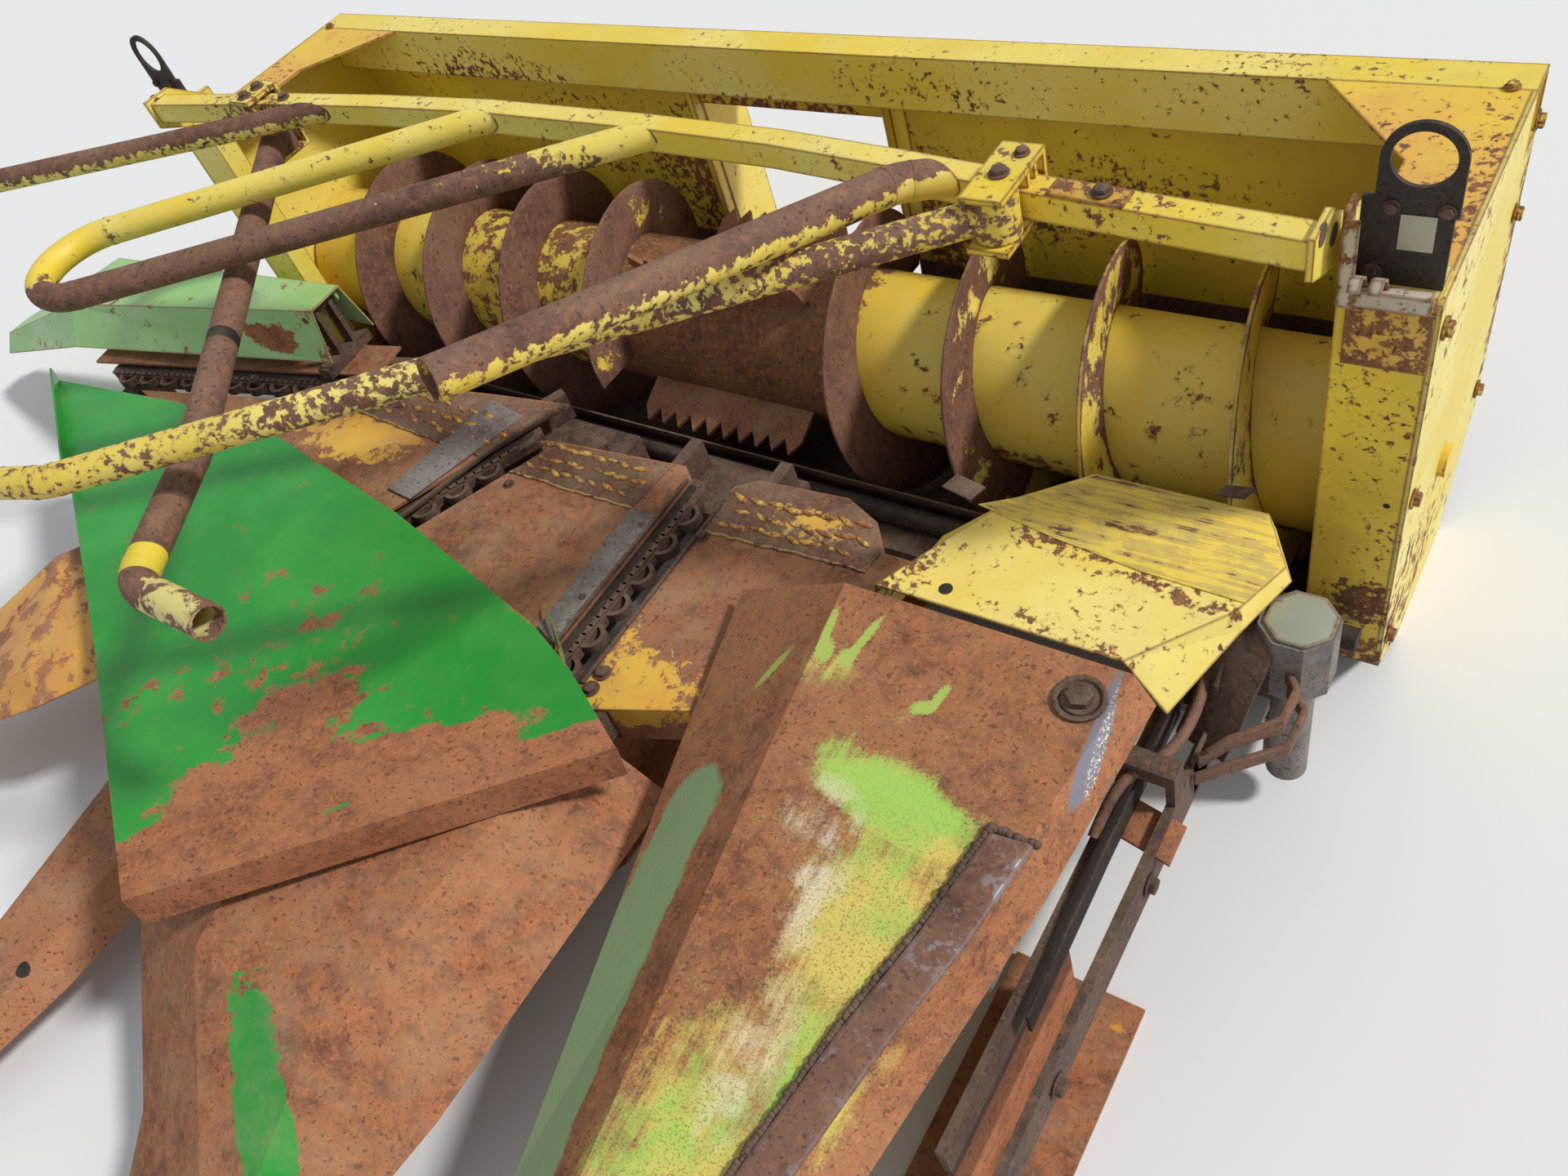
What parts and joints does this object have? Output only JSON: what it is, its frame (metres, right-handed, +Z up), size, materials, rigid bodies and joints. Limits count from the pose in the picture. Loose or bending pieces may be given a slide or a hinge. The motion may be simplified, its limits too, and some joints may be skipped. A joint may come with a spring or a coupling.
{
  "type": "forage harvester row-crop header",
  "caption": "Wide row-crop header with a cross auger, fanned row openings with gathering chains, pointed snouts and a folding push bar with guide tubes.",
  "frame": {"origin": "Middle of the bounding box in X and Y, on the floor.", "axes": "+X runs along the header to its right end seen from the front, +Y runs back to the harvester, +Z is up."},
  "size_m": [3.586, 2.445, 1.0414],
  "materials": {
    "yellow": "worn yellow paint over rusted steel",
    "rust": "rusted steel",
    "green": "green paint, rusted in part",
    "pale_green": "faded pale green paint",
    "dark": "dark oily steel",
    "steel": "bare grey steel"
  },
  "bodies": {
    "header": {"end_sheet_left": "yellow", "end_sheet_right": "yellow", "front_post_left": "yellow", "front_post_right": "yellow", "top_beam": "yellow", "corner_gussets": "yellow", "back_sheet": "yellow", "trough": "rust", "throat_frame": "yellow", "toolbar": "rust", "deck_outer": "rust", "deck_left": "rust", "deck_middle": "rust", "deck_right": "rust", "chain_left": "rust", "chain_middle": "rust", "chain_right": "rust", "chain_guides": "dark", "unit_frame_left": "rust", "unit_frame_middle": "rust", "unit_frame_right": "rust", "skids": "rust", "loose_hood": "green", "snout_middle": "rust", "snout_inner": "rust", "divider_left": "yellow", "end_cover": "yellow", "side_gearbox": "steel", "side_frame": "steel", "left_bearer": "steel", "drive_shaft": "dark", "lift_eyes": "dark", "hinge_brackets": "yellow"},
    "auger": {"auger_drum": "yellow", "auger_flights": "rust", "feed_paddles": "rust"},
    "push_bar": {"push_bar": "yellow", "push_hoop": "yellow", "push_tubes": "yellow", "arm_brackets": "yellow"},
    "arm_left": {"arm_left": "rust"},
    "arm_right": {"arm_right": "yellow"},
    "snout_right": {"snout_right": "rust"},
    "snout_left": {"snout_left": "pale_green"}
  },
  "joints": [
    {"name": "auger_spin", "type": "hinge", "parent": "header", "child": "auger", "pos_m": [0.56297, 0.8375, 0.295], "axis": [1, 0, 0], "continuous": true},
    {"name": "push_bar_fold", "type": "hinge", "parent": "header", "child": "push_bar", "pos_m": [0.56297, 0.6295, 0.8], "axis": [-1, 0, 0], "range_deg": [0, 60]},
    {"name": "arm_left_swing", "type": "hinge", "parent": "push_bar", "child": "arm_left", "pos_m": [-0.25403, 0.58705, 0.797], "axis": [0, 0, -1], "range_deg": [0, 45]},
    {"name": "arm_right_swing", "type": "hinge", "parent": "push_bar", "child": "arm_right", "pos_m": [1.29797, 0.5295, 0.861], "axis": [0, 0, 1], "range_deg": [0, 45]},
    {"name": "snout_right_lift", "type": "hinge", "parent": "header", "child": "snout_right", "pos_m": [1.36297, 0.1875, 0.412], "axis": [-1, 0, 0], "range_deg": [0, 30]},
    {"name": "snout_left_lift", "type": "hinge", "parent": "header", "child": "snout_left", "pos_m": [-0.3415, 0.5036, 0.432], "axis": [-0.1045, 0.9945, 0], "range_deg": [0, 30]}
  ]
}
